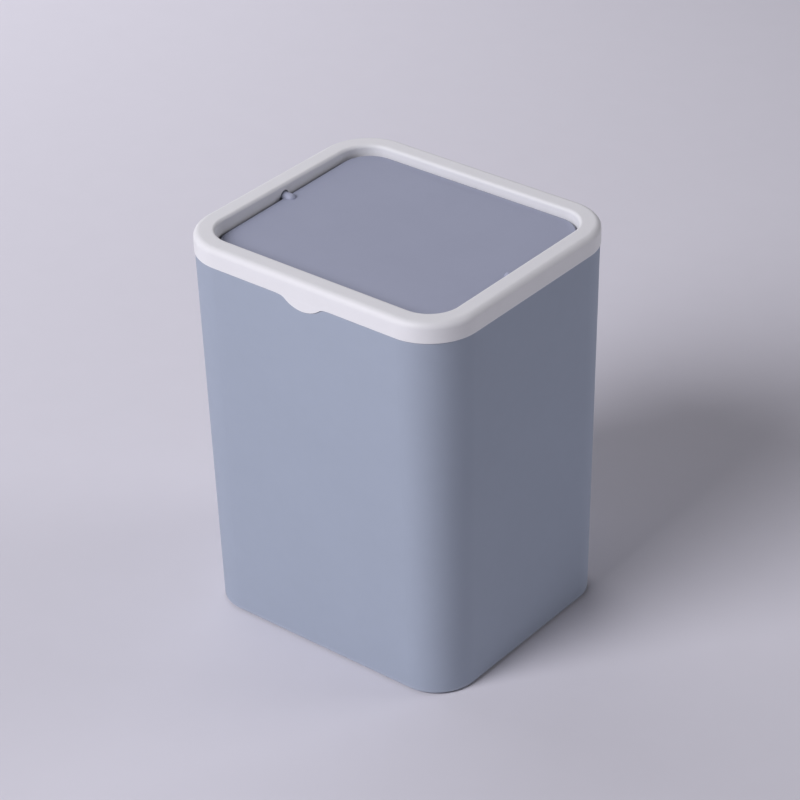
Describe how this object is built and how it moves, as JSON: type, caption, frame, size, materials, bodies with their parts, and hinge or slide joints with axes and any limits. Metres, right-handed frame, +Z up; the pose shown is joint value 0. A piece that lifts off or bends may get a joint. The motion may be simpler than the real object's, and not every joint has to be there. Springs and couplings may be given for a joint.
{
  "type": "push top countertop bin",
  "caption": "Small rounded rectangular countertop bin with a lift-off white frame and a recessed push flap that swings on pins and levels itself.",
  "frame": {"origin": "centre of the footprint, on the plane the foot pads rest on", "axes": "+Z up, -Y towards the front with the finger tab, +X to the bin's right as seen from above with the front near the viewer"},
  "size_m": [0.1544, 0.1344, 0.2],
  "materials": {
    "body_plastic": "fine-textured blue-grey polypropylene",
    "frame_plastic": "satin white polypropylene",
    "flap_plastic": "fine-textured blue-grey polypropylene",
    "bearing_plastic": "smooth natural white acetal",
    "pin_steel": "drawn stainless steel",
    "bar_steel": "zinc-plated steel bar",
    "foot_rubber": "matte dark grey rubber"
  },
  "bodies": {
    "bin": {"body": "body_plastic", "foot_front_left": "foot_rubber", "foot_front_right": "foot_rubber", "foot_rear_left": "foot_rubber", "foot_rear_right": "foot_rubber"},
    "lid_frame": {"top_frame": "frame_plastic", "bearing_left": "bearing_plastic", "bearing_right": "bearing_plastic"},
    "push_flap": {"flap": "flap_plastic", "pivot_pin_left": "pin_steel", "pivot_pin_right": "pin_steel", "counterweight": "bar_steel", "counterweight_cover": "flap_plastic"}
  },
  "joints": [
    {"name": "frame_lift", "type": "slide", "parent": "bin", "child": "lid_frame", "axis": [0, 0, 1], "range_m": [0, 0.04]},
    {"name": "flap_swing", "type": "hinge", "parent": "lid_frame", "child": "push_flap", "pos_m": [0, 0, 0.1939], "axis": [1, 0, 0], "range_deg": [-61.2, 58.8]}
  ]
}
